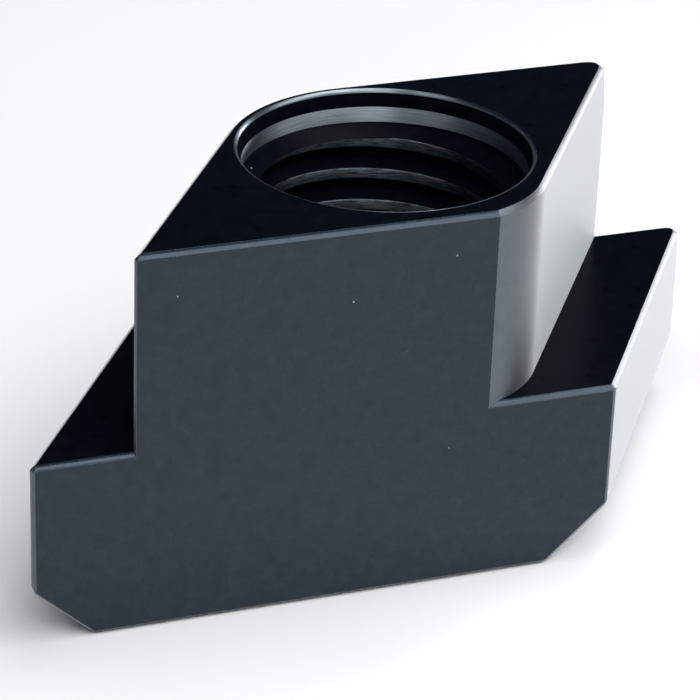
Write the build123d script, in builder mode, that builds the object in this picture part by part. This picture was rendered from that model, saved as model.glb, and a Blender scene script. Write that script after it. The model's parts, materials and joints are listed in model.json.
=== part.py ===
from build123d import *
import math
import os

# Rhombic T-slot nut for an M24 stud in a 28 mm slot, sawn from a T-shaped steel bar.
# The slot runs along Y, the nut's width is along X and the stud leaves along +Z.
# The origin is the middle of the bottom face, and all lengths are in millimetres.

# The slot and the thread that the nut is made for
slot_width = 28.0
slot_clearance = 0.3  # the neck is this much narrower than the slot
thread_diameter = 24.0
tapping_diameter = 21.0  # the bore, over the crests of the thread

# The T-shaped bar
base_width = 42.0
base_height = 16.5
height = 34.0
bottom_chamfer_run = 4.4
bottom_chamfer_rise = 4.9

# The slanted end faces and the rounded edges
end_angle = 56.0  # between an end face and the slot, in degrees
edge_break = 0.35
corner_break = 0.5

# The two mouths of the bore, and where it stands on the blank
mouth_diameter = 25.3
mouth_depth = 1.3
rim_break = 0.25
relief_clearance = 0.05  # radial room round the thread at its start
relief_depth = 2.6
lead_angle = 60.0  # of the cones at both ends of the thread, from its axis
foot_diameter = 24.6
bore_x = -0.35
bore_y = 0.35

# The end faces are as far apart as the neck is wide, and the neck's blunt corners lie on
# the circle that touches all four of its sides. So the nut goes down into the slot on
# the slant, then turns until its base is locked under the slot's lips.
neck_width = slot_width - slot_clearance
end_distance = neck_width
blunt_radius = neck_width / 2

lean = 1 / math.tan(math.radians(end_angle))
side_length = end_distance / math.sin(math.radians(end_angle))


def slanted_plan(width):
    """The corners of the plan that two slanted cuts leave of a bar of this width."""
    half = width / 2
    return [
        (-half, -half * lean - side_length / 2),
        (half, half * lean - side_length / 2),
        (half, half * lean + side_length / 2),
        (-half, -half * lean + side_length / 2),
    ]


# Base: the foot of the T, with its lower edges cut back along the slot
bar_reach = side_length + base_width * lean
with BuildPart() as base:
    with BuildSketch(Plane.XZ):
        with BuildLine():
            Polyline(
                (base_width / 2 - bottom_chamfer_run, 0),
                (base_width / 2, bottom_chamfer_rise),
                (base_width / 2, base_height),
                (-base_width / 2, base_height),
                (-base_width / 2, bottom_chamfer_rise),
                (bottom_chamfer_run - base_width / 2, 0),
                close=True,
            )
        make_face()
    extrude(amount=bar_reach, both=True)
    with BuildSketch():
        with BuildLine():
            Polyline(*slanted_plan(base_width), close=True)
        make_face()
    extrude(amount=base_height, mode=Mode.INTERSECT)
    fillet(base.edges(), radius=edge_break)

# Neck: the stem of the T, sunk a little into the base so that its end faces run on
# down past the base's rounded edge
neck_start = base_height - 2 * edge_break
neck_middle = (0, 0, neck_start)
with BuildPart() as neck:
    with BuildSketch(Plane.XY.offset(neck_start)) as stem:
        with BuildLine():
            Polyline(*slanted_plan(neck_width), close=True)
        make_face()
        fillet(stem.vertices().sort_by_distance(neck_middle)[:2], radius=blunt_radius)
        fillet(stem.vertices().sort_by_distance(neck_middle)[-2:], radius=corner_break)
    extrude(amount=height - neck_start)
    fillet(neck.faces().sort_by(Axis.Z)[-1].edges(), radius=edge_break)

# Nut: base and neck in one piece, bored through for the thread
bore_radius = tapping_diameter / 2
relief_radius = thread_diameter / 2 + relief_clearance
mouth_radius = mouth_diameter / 2
foot_radius = foot_diameter / 2
cone_slope = math.tan(math.radians(lead_angle))
lead_rise = (relief_radius - bore_radius) / cone_slope
foot_rise = (foot_radius - bore_radius) / cone_slope
bore_plane = Plane(origin=(bore_x, bore_y, 0), x_dir=(1, 0, 0), z_dir=(0, -1, 0))
with BuildPart() as nut:
    add(base.part)
    add(neck.part)
    with BuildSketch(bore_plane):
        with BuildLine():
            Polyline(
                (0, 0),
                (foot_radius, 0),
                (bore_radius, foot_rise),
                (bore_radius, height - relief_depth - lead_rise),
                (relief_radius, height - relief_depth),
                (relief_radius, height - mouth_depth),
                (mouth_radius - rim_break, height - rim_break),
                (mouth_radius, height),
                (0, height),
                close=True,
            )
        make_face()
    revolve(axis=Axis((bore_x, bore_y, 0), (0, 0, 1)), mode=Mode.SUBTRACT)

nut.part.label = "t_slot_nut"
os.makedirs("parts", exist_ok=True)
export_step(nut.part, "parts/t_slot_nut.step")
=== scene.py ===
"""A rhombic T-slot nut in blackened steel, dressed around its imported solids.

The nut is modelled again with its thread, turned mouth and broken edges, gets its black-oxide
finish, and stands on a plain pale floor in soft studio light. Lengths are in metres.
"""

import json
import math

import bmesh
import bpy
from mathutils import Matrix, Quaternion, Vector


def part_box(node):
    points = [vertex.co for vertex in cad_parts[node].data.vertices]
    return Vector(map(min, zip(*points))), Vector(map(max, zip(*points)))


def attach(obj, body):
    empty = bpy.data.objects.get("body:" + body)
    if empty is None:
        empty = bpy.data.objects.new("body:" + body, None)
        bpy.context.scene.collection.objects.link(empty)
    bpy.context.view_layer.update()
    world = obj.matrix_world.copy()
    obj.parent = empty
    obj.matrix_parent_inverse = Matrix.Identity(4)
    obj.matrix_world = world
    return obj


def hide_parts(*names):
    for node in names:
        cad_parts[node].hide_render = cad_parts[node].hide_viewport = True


bl_info = {
    "name": "T-Slot Nut",
    "version": (1, 0, 0),
    "blender": (4, 5, 0),
    "location": "3D View > Sidebar > T-Slot Nut",
    "description": "Models a rhombic T-slot nut with its thread, finish and studio",
    "category": "Object",
}

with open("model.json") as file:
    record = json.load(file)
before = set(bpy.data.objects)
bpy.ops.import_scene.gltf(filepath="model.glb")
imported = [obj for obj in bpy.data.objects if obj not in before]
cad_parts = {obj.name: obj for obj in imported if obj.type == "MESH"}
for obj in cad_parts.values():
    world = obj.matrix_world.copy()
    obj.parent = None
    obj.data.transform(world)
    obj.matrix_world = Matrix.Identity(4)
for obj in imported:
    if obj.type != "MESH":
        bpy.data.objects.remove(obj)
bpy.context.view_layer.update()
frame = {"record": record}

MM = 0.001
NODE = "t_slot_nut"
BODY = "root"

MOUNTS = {mount["name"]: mount for mount in frame["record"]["mounts"]}
NUT_LOW, NUT_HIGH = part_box(NODE)
BORE_AXIS = Vector(MOUNTS["thread"]["pos_m"])
BORE_RADIUS = MOUNTS["thread"]["dims"]["r_mm"] * MM
SHOULDER_HEIGHT = MOUNTS["shoulder_right"]["pos_m"][2]

SAME_PLACE = 0.01 * MM  # two points closer than this count as one
FLANK_LEAN = math.radians(30)  # of the thread's flanks, from square to its axis
SMOOTH_BELOW = math.radians(28)  # edges that turn less than this are shaded smooth
EDGE_TURN = math.radians(25)  # edges that turn more than this are broken
CORNER_STEPS = 6  # facets round an upright corner of the foot, or at the back
BREAK_STEPS = 4  # facets across a broken edge
BREAK_PROFILE = 0.3  # of a broken edge: 0.5 is round, 0.25 is flat
BLUNT_STEPS = 28  # facets round a blunt corner of the neck
RIM_STEPS = 8  # facets round the rim
PANEL_DISTANCE = 0.8  # of every light panel
PANEL_SIZE = 0.4  # side of a square light panel


def length_property(name, description, default):
    """A size of the nut, in metres."""
    return bpy.props.FloatProperty(
        name=name, description=description, default=default, min=0.0, subtype="DISTANCE", unit="LENGTH"
    )


def angle_property(name, description, degrees):
    """An angle, written in degrees."""
    return bpy.props.FloatProperty(
        name=name, description=description, default=math.radians(degrees), subtype="ANGLE"
    )


def number_property(name, description, default):
    """A plain number that is never below zero."""
    return bpy.props.FloatProperty(name=name, description=description, default=default, min=0.0)


def colour_property(name, description, default):
    """A colour, written as sRGB hex."""
    return bpy.props.StringProperty(name=name, description=description, default=default)


def linear(hex_colour):
    """An sRGB hex colour as linear red, green and blue."""
    channels = (int(hex_colour[i : i + 2], 16) / 255 for i in (1, 3, 5))
    return tuple(c / 12.92 if c <= 0.04045 else ((c + 0.055) / 1.055) ** 2.4 for c in channels)


class NutSizes(bpy.types.PropertyGroup):
    """The nut's sizes, those of its solids first."""

    base_width: length_property("Base width", "Width of the foot across the slot", NUT_HIGH.x - NUT_LOW.x)
    base_height: length_property("Base height", "Height of the foot up to its shoulders", SHOULDER_HEIGHT)
    height: length_property("Height", "Height of the whole nut", NUT_HIGH.z)
    neck_width: length_property("Neck width", "Width of the neck, and between the end faces", 27.7 * MM)
    end_angle: angle_property("End angle", "Angle between an end face and the slot", 56)
    chamfer_run: length_property("Chamfer run", "Width of the foot's lower chamfers", 4.4 * MM)
    chamfer_rise: length_property("Chamfer rise", "Height of the foot's lower chamfers", 4.9 * MM)
    blunt_radius: length_property("Blunt radius", "Radius of the neck's blunt corner at the front", 10.5 * MM)
    blunt_bite: length_property("Blunt bite", "How deep the front end face cuts into that corner", 0.46 * MM)
    edge_break: length_property("Edge break", "Width of the broken edges", 0.42 * MM)
    foot_corner: length_property("Foot corner", "Radius of the foot's sharp corner at the front", 0.35 * MM)
    foot_blunt_corner: length_property("Foot's blunt corners", "Radius of the foot's blunt corners", 0.5 * MM)
    near_corner: length_property("Near corner", "Radius of the neck's sharp corner at the front", 0.2 * MM)
    far_corner: length_property("Far corner", "Radius of the neck's corner at the back, at its top", 1.5 * MM)
    foot_far_corner: length_property("Foot's far corner", "Radius of the foot's, at its top", 1.1 * MM)
    far_corner_low: length_property("Far corners, low", "Radius of both corners further down", 0.4 * MM)
    far_corner_fade: length_property("Far corner fade", "Height over which their radius fades", 4 * MM)
    thread_diameter: length_property("Thread diameter", "Major diameter of the thread", 24 * MM)
    pitch: length_property("Pitch", "Pitch of the right-hand thread", 3 * MM)
    thread_start: length_property("Thread start", "How far the thread starts below the foot", 4.05 * MM)
    crest_break: length_property("Crest break", "Rounding along the thread's crests", 0.07 * MM)
    mouth_diameter: length_property("Mouth diameter", "Diameter of the bore's mouth", 25.3 * MM)
    mouth_depth: length_property("Mouth depth", "Depth of the steep cone at the mouth", 1.5 * MM)
    rim_break: length_property("Rim break", "Radius of the rim's rounding", 0.3 * MM)
    relief_depth: length_property("Relief depth", "Depth at which the plain ring ends", 2.9 * MM)
    relief_clearance: length_property("Relief clearance", "Room of that ring round the thread", 0.05 * MM)
    foot_diameter: length_property("Foot diameter", "Diameter of the countersink underneath", 24.6 * MM)
    lead_angle: angle_property("Lead angle", "Angle of the thread's end cones from its axis", 60)
    steps: bpy.props.IntProperty(name="Steps", description="Facets round the bore", default=128, min=24)


class NutFinish(bpy.types.PropertyGroup):
    """The colours of the nut's finishes, with the painted shade, sheen and highlights among them."""

    oxide_dark: colour_property("Oxide, dark", "Darkest tone of the black oxide", "#1B2631")
    oxide_light: colour_property("Oxide, light", "Lightest tone of the black oxide", "#232F3B")
    # Painted sheen: the long sides' tones, lighter than the oxide elsewhere
    drawn_sheen_dark: colour_property("Drawn sides, dark", "Darkest tone of the thin oxide on them", "#566068")
    drawn_sheen_light: colour_property("Drawn sides, light", "Lightest tone of the thin oxide there", "#626C74")
    speck: colour_property("Speck", "Bare steel in the tiny nicks", "#9AA3AA")
    # Painted shade: near-black tones on the top, the shoulders and in the bore
    painted_shade_dark: colour_property("Painted shade, dark", "Darkest tone of the painted shade", "#04070D")
    painted_shade_light: colour_property("Painted shade, light", "Lightest tone of the painted shade", "#0A0E17")
    # Partly wear, partly painted highlight: the pale rim round the bore's mouth
    rim_wear_and_highlight_dark: colour_property("Rim, dark", "Darkest tone of the bore's worn rim", "#7E8890")
    rim_wear_and_highlight_light: colour_property("Rim, light", "Lightest tone of the bore's worn rim", "#A2ACB4")
    # Partly bare turned steel, partly painted highlight: the ring's tones, paler than bare steel
    ring_highlight_dark: colour_property("Ring, dark", "Darkest tone of the turned ring", "#B6C2CA")
    ring_highlight_light: colour_property("Ring, light", "Lightest tone of the turned ring", "#D4DEE4")
    # Partly tapped steel, partly painted shade: the crests' tones, greyer than bare steel deep in the bore
    crest_shade_dark: colour_property("Crest, dark", "Darkest tone of the thread's crests", "#343B41")
    crest_shade_light: colour_property("Crest, light", "Lightest tone of the thread's crests", "#69727A")
    film: number_property("Oil film", "How far the oil film covers the oxide", 0.6)


class Studio(bpy.types.PropertyGroup):
    """The floor, the light and the camera."""

    floor_colour: colour_property("Floor", "Colour of the plain floor", "#FAFAFA")
    floor_size: length_property("Floor size", "Side of the square floor", 6.0)
    dusk: colour_property("Dusk", "Colour of the dim room overhead", "#7FA5FF")
    glow: number_property("Glow", "Brightness of the dim room overhead", 0.02)
    horizon: number_property("Horizon", "Brightness of the room's pale foot", 0.9)
    horizon_top: angle_property("Horizon top", "Elevation at which the pale foot has faded", 9)
    key_light: number_property("Key light", "Brightness of the top panel", 4.7)
    right_light: number_property("Right light", "Brightness of the panel on the right", 3.4)
    front_light: number_property("Front light", "Brightness of the panel in front", 3.3)
    left_light: number_property("Left light", "Brightness of the panel on the left", 4.4)
    rear_light: number_property("Rear light", "Brightness of the panel behind on the left", 2.2)
    low_light: number_property("Low light", "Brightness of the small low panel", 22.0)
    lens: number_property("Lens", "Focal length in millimetres", 164.77)
    view_azimuth: angle_property("View azimuth", "Way round the nut from its front", 13.54)
    view_elevation: angle_property("View elevation", "Height of the view", 27.59)
    view_roll: angle_property("View roll", "Turn of the camera about its axis", 2.19)
    view_distance: length_property("View distance", "From the camera to the point it looks at", 0.27448)
    view_point: bpy.props.FloatVectorProperty(
        name="View point",
        description="Point that the camera looks at",
        default=(-0.0023, -0.00136, 0.01549),
        subtype="XYZ",
        unit="LENGTH",
    )


# ---------------------------------------------------------------- modelling by hand


def deselect_all():
    bpy.ops.object.select_all(action="DESELECT")


def make_active(piece):
    deselect_all()
    piece.select_set(True)
    bpy.context.view_layer.objects.active = piece


def pick(kind, test):
    """In edit mode, selects only the vertices, edges or faces that pass the test."""
    mesh = bmesh.from_edit_mesh(bpy.context.object.data)
    bpy.ops.mesh.select_mode(type=kind)
    bpy.ops.mesh.select_all(action="DESELECT")
    items = {"VERT": mesh.verts, "EDGE": mesh.edges, "FACE": mesh.faces}[kind]
    for item in items:
        if test(item):
            item.select_set(True)
    mesh.select_flush_mode()
    bmesh.update_edit_mesh(bpy.context.object.data)


def middle(edge):
    return (edge.verts[0].co + edge.verts[1].co) / 2


def along(edge):
    return (edge.verts[1].co - edge.verts[0].co).normalized()


def is_upright(edge):
    return abs(along(edge).z) > 0.99


def start_line(name, point):
    """A mesh of one vertex at the point, left in edit mode with the vertex selected."""
    deselect_all()
    bpy.ops.mesh.primitive_plane_add(size=MM, location=point)
    piece = bpy.context.object
    piece.name = piece.data.name = name
    bpy.ops.object.transform_apply(location=True)
    bpy.ops.object.mode_set(mode="EDIT")
    bpy.ops.mesh.select_mode(type="VERT")
    bpy.ops.mesh.select_all(action="SELECT")
    bpy.ops.mesh.merge(type="CENTER")
    return piece


def line_to(points, start):
    """Extrudes the selected vertex from the start through the points."""
    at = Vector(start)
    for point in points:
        step = Vector(point) - at
        bpy.ops.mesh.extrude_region_move(TRANSFORM_OT_translate={"value": step})
        at = Vector(point)


def close_mesh():
    """Merges the doubles, points the faces outwards and leaves edit mode."""
    bpy.ops.mesh.select_all(action="SELECT")
    bpy.ops.mesh.remove_doubles(threshold=0.001 * MM)
    bpy.ops.mesh.normals_make_consistent(inside=False)
    bpy.ops.object.mode_set(mode="OBJECT")


def cut_off(point, normal):
    """Cuts away what lies beyond the plane, and closes the cut."""
    bpy.ops.mesh.select_all(action="SELECT")
    bpy.ops.mesh.bisect(
        plane_co=point,
        plane_no=Vector(normal).normalized(),
        threshold=0.0001 * MM,
        use_fill=True,
        clear_outer=True,
    )


def apply_boolean(piece, tool, operation):
    """Joins the tool to the piece or takes it away, and deletes the tool."""
    make_active(piece)
    boolean = piece.modifiers.new(operation.title(), "BOOLEAN")
    boolean.operation = operation
    boolean.object = tool
    boolean.solver = "EXACT"
    bpy.ops.object.modifier_apply(modifier=boolean.name)
    bpy.data.objects.remove(tool)


def break_edges(piece, widths):
    """Files edges almost flat, each to the width of the last test in the list that it passes."""
    widest = max(width for _, width in widths)
    for test, width in widths:
        pick("EDGE", test)
        bpy.ops.transform.edge_bevelweight(value=-1)
        bpy.ops.transform.edge_bevelweight(value=width / widest)
    bpy.ops.object.mode_set(mode="OBJECT")
    make_active(piece)
    bevel = piece.modifiers.new("Broken edges", "BEVEL")
    bevel.limit_method = "WEIGHT"
    bevel.offset_type = "OFFSET"
    bevel.width = widest
    bevel.segments = BREAK_STEPS
    bevel.profile = BREAK_PROFILE
    bevel.use_clamp_overlap = False
    bevel.miter_outer = "MITER_SHARP"
    bpy.ops.object.modifier_apply(modifier=bevel.name)


def flatten_ends(sizes):
    """Brings both end faces to exactly one distance, so that foot and neck are flush."""
    half = sizes.neck_width / 2
    for side in (-1, 1):
        end = side * half
        pick("VERT", lambda vert: abs(vert.co.y - end) < SAME_PLACE)
        bpy.ops.transform.resize(value=(1, 0, 1), center_override=(0, end, 0))


def sharp_tip(width, sizes):
    """Where a bar of this width has its sharp corner at the back, in the blank's own frame."""
    half = sizes.neck_width / 2
    lean = math.pi / 2 - sizes.end_angle
    return Vector(((width / 2 + half * math.sin(lean)) / math.cos(lean), half, 0))


def fade_corner(tip, radius, low, high, sizes):
    """Rounds the sharp upright corner at the tip to this radius at its top, and less further down."""

    def near_tip(place, reach):
        return (place.xy - tip.xy).length < reach

    reach = radius / math.tan(sizes.end_angle / 2)
    shrink = sizes.far_corner_low / radius
    level = high - sizes.far_corner_fade
    pick("EDGE", lambda edge: is_upright(edge) and near_tip(middle(edge), SAME_PLACE))
    bpy.ops.mesh.bevel(offset=reach, offset_type="OFFSET", segments=CORNER_STEPS, affect="EDGES")
    bpy.ops.mesh.select_all(action="SELECT")
    bpy.ops.mesh.bisect(plane_co=(0, 0, level), plane_no=(0, 0, 1), threshold=0.0001 * MM)
    pick("VERT", lambda vert: abs(vert.co.z - level) < SAME_PLACE and near_tip(vert.co, 1.2 * reach))
    bpy.ops.transform.resize(value=(shrink, shrink, 1), center_override=(tip.x, tip.y, level))
    pick("VERT", lambda vert: vert.co.z < low + SAME_PLACE and near_tip(vert.co, 1.2 * reach))
    bpy.ops.transform.resize(value=(shrink, shrink, shrink), center_override=(tip.x, tip.y, low))


def model_foot(sizes):
    """The foot of the T, in the blank's own frame: its end faces are square to Y."""
    deselect_all()
    bar_length = 3 * sizes.base_width
    bpy.ops.mesh.primitive_cube_add(
        size=1,
        location=(0, 0, sizes.base_height / 2),
        scale=(sizes.base_width, bar_length, sizes.base_height),
    )
    foot = bpy.context.object
    foot.name = "foot"
    bpy.ops.object.transform_apply(location=True, scale=True)
    bpy.ops.object.mode_set(mode="EDIT")
    for side in (-1, 1):
        edge = (side * sizes.base_width / 2, 0, sizes.chamfer_rise)
        cut_off(edge, (side * sizes.chamfer_rise, 0, -sizes.chamfer_run))
    bpy.ops.object.mode_set(mode="OBJECT")
    foot.rotation_euler.z = sizes.end_angle - math.pi / 2
    bpy.ops.object.transform_apply(rotation=True)
    bpy.ops.object.mode_set(mode="EDIT")
    for side in (-1, 1):
        cut_off((0, side * sizes.neck_width / 2, 0), (0, side, 0))
    tip = sharp_tip(sizes.base_width, sizes)
    fade_corner(tip, sizes.foot_far_corner, sizes.chamfer_rise, sizes.base_height, sizes)
    pick("EDGE", lambda edge: is_upright(edge) and middle(edge).x * middle(edge).y < 0)
    slope = math.tan(sizes.end_angle / 2)
    reach = sizes.foot_blunt_corner * slope
    bpy.ops.mesh.bevel(offset=reach, offset_type="OFFSET", segments=CORNER_STEPS, affect="EDGES")
    weights = [
        (lambda edge: edge.calc_face_angle(0) > EDGE_TURN, sizes.edge_break),
        (lambda edge: is_upright(edge) and (middle(edge).xy - tip.xy).length < 2 * sizes.foot_far_corner, 0),
        (
            lambda edge: is_upright(edge) and (middle(edge).xy + tip.xy).length < SAME_PLACE,
            sizes.foot_corner / slope,
        ),
    ]
    break_edges(foot, weights)
    bpy.ops.object.mode_set(mode="EDIT")
    flatten_ends(sizes)
    close_mesh()
    return foot


def half_outline(radius, bite, sizes, height):
    """One blunt corner and the side that follows it; the other half is its half-turn."""
    half = sizes.neck_width / 2
    spare = sizes.base_height
    lean = math.pi / 2 - sizes.end_angle
    depth = radius - bite
    across = (half - radius + math.sin(lean) * (depth - half)) / math.cos(lean)
    centre = Vector((across, depth - half, height))
    first = Vector((centre.x, -half - spare, height))
    tangent = Vector((centre.x, centre.y - radius, height))
    corner = centre + radius * Vector((math.cos(lean), -math.sin(lean), 0))
    rise = half + spare - corner.y
    far = Vector((corner.x + rise * math.tan(lean), half + spare, height))
    return centre, first, tangent, corner, far


def model_neck(sizes):
    """The neck, in the blank's own frame, with its two blunt corners rounded."""
    half = sizes.neck_width / 2
    start = sizes.base_height - 2 * sizes.edge_break
    halves = [
        half_outline(sizes.blunt_radius, sizes.blunt_bite, sizes, start),
        half_outline(half, 0, sizes, start),
    ]
    centre, first, tangent, corner, far = halves[1]
    neck = start_line("neck", first)
    line_to([tangent], first)
    bpy.ops.mesh.spin(steps=BLUNT_STEPS, angle=-sizes.end_angle, center=centre, axis=(0, 0, 1))
    line_to([far, Vector((-halves[0][1].x, far.y, start))], corner)
    bpy.ops.mesh.select_all(action="SELECT")
    bpy.ops.transform.rotate(value=math.pi, orient_axis="Z", center_override=(0, 0, start))
    centre, first, tangent, corner, far = halves[0]
    pick("VERT", lambda vert: (vert.co - first).length < SAME_PLACE)
    line_to([tangent], first)
    bpy.ops.mesh.spin(steps=BLUNT_STEPS, angle=-sizes.end_angle, center=centre, axis=(0, 0, 1))
    line_to([far, Vector((-halves[1][1].x, far.y, start))], corner)
    bpy.ops.mesh.select_all(action="SELECT")
    bpy.ops.mesh.remove_doubles(threshold=0.001 * MM)
    bpy.ops.mesh.edge_face_add()
    bpy.ops.mesh.extrude_region_move(TRANSFORM_OT_translate={"value": (0, 0, sizes.height - start)})
    for side in (-1, 1):
        cut_off((0, side * half, 0), (0, side, 0))
    bpy.ops.mesh.select_all(action="SELECT")
    bpy.ops.mesh.normals_make_consistent(inside=False)

    tip = sharp_tip(sizes.neck_width, sizes)
    fade_corner(tip, sizes.far_corner, start, sizes.height, sizes)
    weights = [
        (lambda edge: all(vert.co.z > sizes.height - SAME_PLACE for vert in edge.verts), sizes.edge_break),
        (
            lambda edge: is_upright(edge) and (middle(edge).xy + tip.xy).length < SAME_PLACE,
            sizes.near_corner / math.tan(sizes.end_angle / 2),
        ),
    ]
    break_edges(neck, weights)
    bpy.ops.object.mode_set(mode="EDIT")
    flatten_ends(sizes)
    close_mesh()
    return neck


def spin_solid(name, profile, sizes):
    """A solid of revolution round the bore's axis, from a profile of radius and height."""
    points = [(radius, 0, height) for radius, height in profile]
    piece = start_line(name, points[0])
    line_to(points[1:], points[0])
    bpy.ops.mesh.select_all(action="SELECT")
    bpy.ops.mesh.spin(steps=sizes.steps, angle=2 * math.pi, center=(0, 0, 0), axis=(0, 0, 1))
    close_mesh()
    piece.location = (BORE_AXIS.x, BORE_AXIS.y, 0)
    return piece


def model_tap(sizes):
    """A threaded rod as long as the bore, which cuts the thread as a tap does."""
    depth = sizes.thread_diameter / 2 - BORE_RADIUS
    root = sizes.pitch / 8
    crest = sizes.pitch - root - 2 * depth * math.tan(FLANK_LEAN)
    soft = sizes.crest_break
    half = sizes.pitch / 2
    groove = [
        (BORE_RADIUS, 0),
        (BORE_RADIUS, crest / 2 - soft),
        (BORE_RADIUS + 0.3 * soft, crest / 2 - 0.3 * soft),
        (BORE_RADIUS + soft, crest / 2 + soft * math.tan(FLANK_LEAN)),
        (BORE_RADIUS + depth - soft, half - root / 2 - soft * math.tan(FLANK_LEAN)),
        (BORE_RADIUS + depth, half - root / 4),
    ]
    profile = groove + [(radius, sizes.pitch - height) for radius, height in reversed(groove)]
    points = [(radius, 0, height) for radius, height in profile]
    tap = start_line("tap", points[0])
    line_to(points[1:], points[0])
    bpy.ops.object.mode_set(mode="OBJECT")
    turns = math.ceil(sizes.height / sizes.pitch) + 3
    screw = tap.modifiers.new("Screw", "SCREW")
    screw.axis = "Z"
    screw.angle = 2 * math.pi
    screw.screw_offset = sizes.pitch
    screw.iterations = turns
    screw.steps = screw.render_steps = sizes.steps
    screw.use_merge_vertices = False
    bpy.ops.object.modifier_apply(modifier=screw.name)
    bpy.ops.object.mode_set(mode="EDIT")
    bpy.ops.mesh.select_all(action="SELECT")
    bpy.ops.mesh.remove_doubles(threshold=0.001 * MM)
    bpy.ops.mesh.select_all(action="SELECT")
    bpy.ops.transform.translate(value=(0, 0, -sizes.thread_start))
    cut_off((0, 0, -0.2 * sizes.pitch), (0, 0, -1))
    cut_off((0, 0, sizes.height - sizes.relief_depth + 0.5 * MM), (0, 0, 1))
    close_mesh()
    tap.location = (BORE_AXIS.x, BORE_AXIS.y, 0)
    return tap


def model_mouth(sizes):
    """What the mouth's tool takes away: the rounded rim, the steep cone, the ring and the lead."""
    rim = sizes.rim_break
    mouth = sizes.mouth_diameter / 2
    relief = sizes.thread_diameter / 2 + sizes.relief_clearance
    top = sizes.height
    inner = BORE_RADIUS / 2
    profile = [
        (0, top - sizes.relief_depth - (relief - inner) / math.tan(sizes.lead_angle)),
        (inner, top - sizes.relief_depth - (relief - inner) / math.tan(sizes.lead_angle)),
        (relief, top - sizes.relief_depth),
        (relief, top - sizes.mouth_depth),
    ]
    for step in range(RIM_STEPS + 1):
        angle = math.pi / 2 * step / RIM_STEPS
        profile.append((mouth - rim * math.cos(angle), top - rim + rim * math.sin(angle)))
    profile += [(mouth, top + rim), (0, top + rim)]
    return spin_solid("mouth", profile, sizes)


def model_countersink(sizes):
    """What the countersink underneath takes away."""
    foot = sizes.foot_diameter / 2
    inner = BORE_RADIUS / 2
    slope = math.tan(sizes.lead_angle)
    spare = 1 * MM
    profile = [
        (0, -spare),
        (foot + spare * slope, -spare),
        (inner, (foot - inner) / slope),
        (0, (foot - inner) / slope),
    ]
    return spin_solid("countersink", profile, sizes)


def mark_crease(sizes):
    """Marks the crease where the front end face cuts into the blunt corner."""
    half = sizes.neck_width / 2
    centre = half_outline(sizes.blunt_radius, sizes.blunt_bite, sizes, 0)[0]
    reach = math.sqrt(sizes.blunt_radius**2 - (centre.y + half) ** 2)
    turn = Matrix.Rotation(math.pi / 2 - sizes.end_angle, 3, "Z")
    crease = turn @ Vector((centre.x + reach, -half, 0))

    def on_crease(edge):
        return all((vert.co.xy - crease.xy).length < SAME_PLACE for vert in edge.verts)

    pick("EDGE", on_crease)
    bpy.ops.mesh.mark_sharp()


def finish_mesh(nut, sizes):
    """Drops slivers that the cuts left, and shades faces flat and roundings smooth."""
    make_active(nut)
    bpy.ops.object.mode_set(mode="EDIT")
    bpy.ops.mesh.select_all(action="SELECT")
    bpy.ops.mesh.remove_doubles(threshold=0.0005 * MM)
    bpy.ops.mesh.dissolve_degenerate(threshold=0.0005 * MM)
    bpy.ops.object.mode_set(mode="OBJECT")
    bpy.ops.object.shade_smooth_by_angle(angle=SMOOTH_BELOW)
    bpy.ops.object.mode_set(mode="EDIT")
    mark_crease(sizes)
    bpy.ops.object.mode_set(mode="OBJECT")
    weighted = nut.modifiers.new("Weighted normals", "WEIGHTED_NORMAL")
    weighted.keep_sharp = True
    weighted.weight = 100
    bpy.ops.object.modifier_apply(modifier=weighted.name)


def model_nut(sizes):
    """The nut in one piece: foot and neck joined, turned into the slot's frame, bored and tapped."""
    nut = model_foot(sizes)
    apply_boolean(nut, model_neck(sizes), "UNION")
    nut.rotation_euler.z = math.pi / 2 - sizes.end_angle
    bpy.ops.object.transform_apply(rotation=True)
    apply_boolean(nut, model_tap(sizes), "DIFFERENCE")
    apply_boolean(nut, model_mouth(sizes), "DIFFERENCE")
    apply_boolean(nut, model_countersink(sizes), "DIFFERENCE")
    nut.name = nut.data.name = "tapped_nut"
    finish_mesh(nut, sizes)
    return nut


# ---------------------------------------------------------------- finishes


def add_node(tree, kind, settings=None, inputs=None):
    """A node with its settings; an input is a value, or an output socket to link from."""
    node = tree.nodes.new(kind)
    for name, value in (settings or {}).items():
        setattr(node, name, value)
    for name, value in (inputs or {}).items():
        if isinstance(value, bpy.types.NodeSocket):
            tree.links.new(value, node.inputs[name])
        else:
            node.inputs[name].default_value = value
    return node


def new_material(name):
    material = bpy.data.materials.new(name)
    material.use_nodes = True
    material.node_tree.nodes.clear()
    return material


def set_ramp(node, stops):
    """Sets a colour ramp's stops, each a position and a linear colour."""
    ramp = node.color_ramp
    while len(ramp.elements) < len(stops):
        ramp.elements.new(1.0)
    for element, (position, colour) in zip(ramp.elements, stops):
        element.position = position
        element.color = (*colour, 1)


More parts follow.
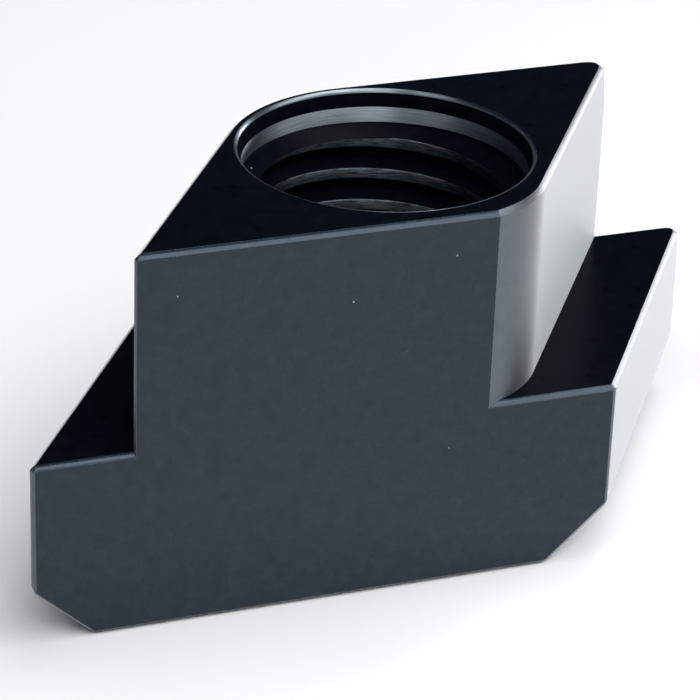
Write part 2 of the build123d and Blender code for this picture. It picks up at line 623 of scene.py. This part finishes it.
def black_oxide(name, finish, grain, tones, roughness):
    """Steel with a thin black oxide: its shader and material. The grain's size is along X, Y and Z."""
    material = new_material(name)
    tree = material.node_tree
    place = add_node(tree, "ShaderNodeTexCoord").outputs["Object"]
    mottle = add_node(
        tree,
        "ShaderNodeTexNoise",
        {},
        {"Vector": place, "Scale": 1 / (1.2 * MM), "Detail": 5.0, "Roughness": 0.6},
    )
    tone = add_node(tree, "ShaderNodeValToRGB", {}, {"Fac": mottle.outputs["Fac"]})
    set_ramp(tone, [(0.3, linear(tones[0])), (0.7, linear(tones[1]))])

    # Tiny bright nicks, a few millimetres apart, where the oxide was knocked off
    cells = add_node(
        tree,
        "ShaderNodeTexVoronoi",
        {"feature": "F1"},
        {"Vector": place, "Scale": 1 / (2.6 * MM), "Randomness": 1.0},
    )
    nicks = add_node(tree, "ShaderNodeValToRGB", {}, {"Fac": cells.outputs["Distance"]})
    set_ramp(nicks, [(0.02, (1, 1, 1)), (0.045, (0, 0, 0))])
    rare = add_node(
        tree, "ShaderNodeMath", {"operation": "GREATER_THAN"}, {0: cells.outputs["Color"], 1: 0.62}
    )
    nicked = add_node(
        tree,
        "ShaderNodeMath",
        {"operation": "MULTIPLY"},
        {0: nicks.outputs["Color"], 1: rare.outputs[0]},
    )
    colour = add_node(
        tree,
        "ShaderNodeMix",
        {"data_type": "RGBA"},
        {0: nicked.outputs[0], 6: tone.outputs["Color"], 7: (*linear(finish.speck), 1)},
    )

    # The cutter's marks
    marks = add_node(tree, "ShaderNodeMapping", {}, {"Vector": place, "Scale": [1 / size for size in grain]})
    rough = add_node(
        tree,
        "ShaderNodeTexNoise",
        {},
        {"Vector": marks.outputs["Vector"], "Scale": 1.0, "Detail": 3.0, "Roughness": 0.6},
    )
    bump = add_node(
        tree, "ShaderNodeBump", {}, {"Strength": 0.05, "Distance": 0.02 * MM, "Height": rough.outputs["Fac"]}
    )
    gloss = add_node(
        tree,
        "ShaderNodeMapRange",
        {},
        {
            "Value": mottle.outputs["Fac"],
            "From Min": 0.3,
            "From Max": 0.7,
            "To Min": roughness[0],
            "To Max": roughness[1],
        },
    )
    shader = add_node(
        tree,
        "ShaderNodeBsdfPrincipled",
        {},
        {
            "Base Color": colour.outputs[2],
            "Metallic": 1.0,
            "Roughness": gloss.outputs["Result"],
            "Normal": bump.outputs["Normal"],
            "Coat Roughness": 0.15,
        },
    )
    add_node(tree, "ShaderNodeOutputMaterial", {}, {"Surface": shader.outputs["BSDF"]})
    return shader, material


def milled_oxide(finish):
    """Face-milled steel, blackened and lightly oiled: dark, blue-grey and satin."""
    grain = (0.12 * MM, 0.12 * MM, 0.12 * MM)
    tones = (finish.oxide_dark, finish.oxide_light)
    shader, material = black_oxide("black oxide on milled steel", finish, grain, tones, (0.24, 0.3))
    shader.inputs["Coat Weight"].default_value = finish.film
    return material


def drawn_oxide_with_painted_sheen(finish):
    """Sides of the drawn bar: a thinner oxide, its tones lighter than elsewhere as a painted sheen, whose
    marks along the slot spread light up and down.
    """
    grain = (0.12 * MM, 2.5 * MM, 0.12 * MM)
    tones = (finish.drawn_sheen_dark, finish.drawn_sheen_light)
    shader, material = black_oxide("thin black oxide on drawn steel with painted sheen", finish, grain, tones, (0.48, 0.54))
    tree = material.node_tree
    tangent = add_node(tree, "ShaderNodeTangent", {"direction_type": "RADIAL", "axis": "Z"})
    tree.links.new(tangent.outputs["Tangent"], shader.inputs["Tangent"])
    shader.inputs["Anisotropic"].default_value = 0.9
    shader.inputs["Anisotropic Rotation"].default_value = 0.25
    shader.inputs["Coat Weight"].default_value = 1.0
    shader.inputs["Coat Roughness"].default_value = 0.42
    shader.inputs["Sheen Weight"].default_value = 0.7
    shader.inputs["Sheen Roughness"].default_value = 0.3
    return material


def painted_shade_oxide(finish):
    """Painted shade on the top, the shoulders and the thread: black oxide toned deep black, hardly a gleam.

    It is not metallic and barely specular, so it stays dark under any light.
    """
    grain = (0.12 * MM, 0.12 * MM, 0.12 * MM)
    tones = (finish.painted_shade_dark, finish.painted_shade_light)
    shader, material = black_oxide("black oxide with painted shade", finish, grain, tones, (0.27, 0.33))
    shader.inputs["Metallic"].default_value = 0.0
    shader.inputs["Specular IOR Level"].default_value = 0.02
    return material


def turned_steel(name, tones, speckle):
    """Steel cut in the bore: fine circular marks spread each reflection along the bore's axis."""
    material = new_material(name)
    tree = material.node_tree
    place = add_node(tree, "ShaderNodeTexCoord").outputs["Object"]
    marks = add_node(
        tree, "ShaderNodeMapping", {}, {"Vector": place, "Scale": [1 / size for size in speckle]}
    )
    patches = add_node(
        tree, "ShaderNodeTexNoise", {}, {"Vector": marks.outputs["Vector"], "Scale": 1.0, "Detail": 4.0}
    )
    tone = add_node(tree, "ShaderNodeValToRGB", {}, {"Fac": patches.outputs["Fac"]})
    set_ramp(tone, [(0.35, linear(tones[0])), (0.65, linear(tones[1]))])
    tangent = add_node(tree, "ShaderNodeTangent", {"direction_type": "RADIAL", "axis": "Z"})
    shader = add_node(
        tree,
        "ShaderNodeBsdfPrincipled",
        {},
        {
            "Base Color": tone.outputs["Color"],
            "Metallic": 1.0,
            "Roughness": 0.42,
            "Anisotropic": 0.9,
            "Anisotropic Rotation": 0.25,
            "Tangent": tangent.outputs["Tangent"],
        },
    )
    add_node(tree, "ShaderNodeOutputMaterial", {}, {"Surface": shader.outputs["BSDF"]})
    return material


def dress_nut(nut, sizes, finish):
    """Milled oxide all over; drawn oxide on the long sides, lightened as painted sheen; painted shade on the
    top, the shoulders and in the bore; and the bore's own finishes, with painted highlight and shade.
    """
    ring_highlight_tones = (finish.ring_highlight_dark, finish.ring_highlight_light)
    rim_wear_and_highlight_tones = (finish.rim_wear_and_highlight_dark, finish.rim_wear_and_highlight_light)
    crest_shade_tones = (finish.crest_shade_dark, finish.crest_shade_light)
    ring_marks = (3 * MM, 3 * MM, 0.12 * MM)
    crest_marks = (1.0 * MM, 1.0 * MM, 0.12 * MM)
    nut.data.materials.clear()
    nut.data.materials.append(milled_oxide(finish))
    # Painted sheen: the long sides' oxide is lighter than the rest
    nut.data.materials.append(drawn_oxide_with_painted_sheen(finish))
    # Painted shade: near-black, barely specular oxide on the top, the shoulders and in the bore
    nut.data.materials.append(painted_shade_oxide(finish))
    # The ring before the thread, turned clean after the oxide and painted paler than bare steel as a
    # highlight: pale, with a streak of light along it
    nut.data.materials.append(turned_steel("turned steel painted bright as a highlight", ring_highlight_tones, ring_marks))
    # The rim, rubbed by handling and painted pale as a highlight: a thin grey line round the mouth
    nut.data.materials.append(turned_steel("worn steel of the rim with painted highlight", rim_wear_and_highlight_tones, ring_marks))
    # The crests that the tap left, their marks drawn coarser than real so that they show: dull grey, darker
    # than bare steel as painted shade deep in the bore
    nut.data.materials.append(turned_steel("tapped steel greyed as painted shade", crest_shade_tones, crest_marks))
    make_active(nut)
    bpy.ops.object.mode_set(mode="EDIT")
    ring = sizes.thread_diameter / 2 + sizes.relief_clearance
    end = Vector((math.cos(sizes.end_angle), -math.sin(sizes.end_angle), 0))

    def from_axis(face):
        return (face.calc_center_median().xy - BORE_AXIS.xy).length

    def depth(face):
        return sizes.height - face.calc_center_median().z

    # Long sides, which get the painted sheen
    def drawn(face):
        flat = face.normal.xy
        is_end = abs(flat.dot(end.xy)) > 0.99 * flat.length
        return abs(face.normal.z) < 0.97 and from_axis(face) > sizes.mouth_diameter / 2 and not is_end

    # Top faces, shoulders and bore, which get the painted shade
    def in_painted_shade(face):
        return face.normal.z > 0.97 or from_axis(face) < sizes.mouth_diameter / 2

    def on_rim(face):
        return from_axis(face) < sizes.mouth_diameter / 2 and 0.1 * SAME_PLACE < depth(face) < sizes.rim_break

    def on_ring(face):
        at_ring = abs(from_axis(face) - ring) < 2 * SAME_PLACE
        return at_ring and sizes.mouth_depth < depth(face) < sizes.relief_depth

    def on_crest(face):
        return from_axis(face) < BORE_RADIUS + 1.5 * sizes.crest_break and sizes.relief_depth < depth(face)

    for index, test in ((1, drawn), (2, in_painted_shade), (3, on_ring), (4, on_rim), (5, on_crest)):
        pick("FACE", test)
        nut.active_material_index = index
        bpy.ops.object.material_slot_assign()
    bpy.ops.object.mode_set(mode="OBJECT")


# ---------------------------------------------------------------- stage


def add_panel(name, azimuth, elevation, size, radiance, aim):
    """A soft light panel that faces the aim. Azimuth 0 is +X, 90 is +Y."""
    a, e = math.radians(azimuth), math.radians(elevation)
    way = Vector((math.cos(a) * math.cos(e), math.sin(a) * math.cos(e), math.sin(e)))
    data = bpy.data.lights.new(name, "AREA")
    data.shape = "RECTANGLE"
    data.size, data.size_y = size
    data.energy = radiance * math.pi * size[0] * size[1]
    lamp = bpy.data.objects.new(name, data)
    bpy.context.scene.collection.objects.link(lamp)
    lamp.location = aim + way * PANEL_DISTANCE
    lamp.rotation_mode = "QUATERNION"
    lamp.rotation_quaternion = way.to_track_quat("Z", "Y")


def build_floor(studio):
    deselect_all()
    bpy.ops.mesh.primitive_plane_add(size=studio.floor_size, location=(0, 0, 0))
    floor = bpy.context.object
    floor.name = "floor"
    material = new_material("plain pale board")
    tree = material.node_tree
    shader = add_node(tree, "ShaderNodeBsdfDiffuse", {}, {"Color": (*linear(studio.floor_colour), 1)})
    add_node(tree, "ShaderNodeOutputMaterial", {}, {"Surface": shader.outputs["BSDF"]})
    floor.data.materials.append(material)


def build_light(studio):
    scene = bpy.context.scene
    world = bpy.data.worlds.new("studio")
    scene.world = world
    world.use_nodes = True
    world.node_tree.nodes.clear()
    way = add_node(world.node_tree, "ShaderNodeTexCoord").outputs["Object"]
    height = add_node(world.node_tree, "ShaderNodeSeparateXYZ", {}, {0: way}).outputs["Z"]
    fade = add_node(
        world.node_tree,
        "ShaderNodeMapRange",
        {"interpolation_type": "SMOOTHSTEP"},
        {
            "Value": height,
            "From Min": math.sin(studio.horizon_top / 3),
            "From Max": math.sin(studio.horizon_top),
            "To Min": studio.horizon,
            "To Max": studio.glow,
        },
    )
    tint = add_node(
        world.node_tree,
        "ShaderNodeMix",
        {"data_type": "RGBA"},
        {0: fade.outputs["Result"], 6: (*linear(studio.dusk), 1), 7: (1, 1, 1, 1)},
    )
    glow = add_node(
        world.node_tree,
        "ShaderNodeBackground",
        {},
        {"Color": tint.outputs[2], "Strength": fade.outputs["Result"]},
    )
    add_node(world.node_tree, "ShaderNodeOutputWorld", {}, {"Surface": glow.outputs["Background"]})
    aim = Vector((0, 0, NUT_HIGH.z / 2))
    square = (PANEL_SIZE, PANEL_SIZE)
    small = (PANEL_SIZE / 2, 0.35 * PANEL_SIZE)
    add_panel("key panel", 60, 70, square, studio.key_light, aim)
    add_panel("right panel", 20, 45, square, studio.right_light, aim)
    add_panel("front panel", -20, 50, square, studio.front_light, aim)
    add_panel("left panel", -65, 45, square, studio.left_light, aim)
    add_panel("rear panel", -120, 55, square, studio.rear_light, aim)
    add_panel("low panel", 62, 6, small, studio.low_light, aim)


def build_camera(studio):
    azimuth, elevation = studio.view_azimuth, studio.view_elevation
    back = Vector((
        math.sin(azimuth) * math.cos(elevation),
        -math.cos(azimuth) * math.cos(elevation),
        math.sin(elevation),
    ))
    data = bpy.data.cameras.new("camera")
    data.lens = studio.lens
    data.clip_start = 10 * MM
    camera = bpy.data.objects.new("camera", data)
    bpy.context.scene.collection.objects.link(camera)
    camera.location = Vector(studio.view_point) + back * studio.view_distance
    camera.rotation_mode = "QUATERNION"
    camera.rotation_quaternion = (-back).to_track_quat("-Z", "Y") @ Quaternion((0, 0, 1), studio.view_roll)
    bpy.context.scene.camera = camera


# ---------------------------------------------------------------- add-on


class TSLOTNUT_OT_model(bpy.types.Operator):
    """Model the nut, dress it in its finishes and put it in place of its solid"""

    bl_idname = "t_slot_nut.model"
    bl_label = "Model the nut"
    bl_options = {"REGISTER", "UNDO"}

    def execute(self, context):
        scene = context.scene
        nut = model_nut(scene.nut_sizes)
        dress_nut(nut, scene.nut_sizes, scene.nut_finish)
        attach(nut, BODY)
        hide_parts(NODE)
        return {"FINISHED"}


class TSLOTNUT_OT_stage(bpy.types.Operator):
    """Lay the plain floor, hang the soft light and place the camera"""

    bl_idname = "t_slot_nut.stage"
    bl_label = "Build the stage"
    bl_options = {"REGISTER", "UNDO"}

    def execute(self, context):
        scene = context.scene
        scene.view_settings.view_transform = "Standard"
        build_floor(scene.nut_studio)
        build_light(scene.nut_studio)
        build_camera(scene.nut_studio)
        return {"FINISHED"}


class TSLOTNUT_PT_sidebar(bpy.types.Panel):
    """The nut's sizes, finishes and studio, with the steps that build them"""

    bl_idname = "TSLOTNUT_PT_sidebar"
    bl_label = "T-Slot Nut"
    bl_space_type = "VIEW_3D"
    bl_region_type = "UI"
    bl_category = "T-Slot Nut"

    def draw(self, context):
        scene = context.scene
        groups = (
            (TSLOTNUT_OT_model, scene.nut_sizes),
            (TSLOTNUT_OT_model, scene.nut_finish),
            (TSLOTNUT_OT_stage, scene.nut_studio),
        )
        for operator, settings in groups:
            box = self.layout.box()
            for name in settings.__annotations__:
                box.prop(settings, name)
            box.operator(operator.bl_idname)


CLASSES = (NutSizes, NutFinish, Studio, TSLOTNUT_OT_model, TSLOTNUT_OT_stage, TSLOTNUT_PT_sidebar)


def register():
    for cls in CLASSES:
        bpy.utils.register_class(cls)
    bpy.types.Scene.nut_sizes = bpy.props.PointerProperty(type=NutSizes)
    bpy.types.Scene.nut_finish = bpy.props.PointerProperty(type=NutFinish)
    bpy.types.Scene.nut_studio = bpy.props.PointerProperty(type=Studio)


def unregister():
    del bpy.types.Scene.nut_studio
    del bpy.types.Scene.nut_finish
    del bpy.types.Scene.nut_sizes
    for cls in reversed(CLASSES):
        bpy.utils.unregister_class(cls)


def main():
    register()
    bpy.ops.t_slot_nut.model()
    bpy.ops.t_slot_nut.stage()


if __name__ == "__main__":
    main()
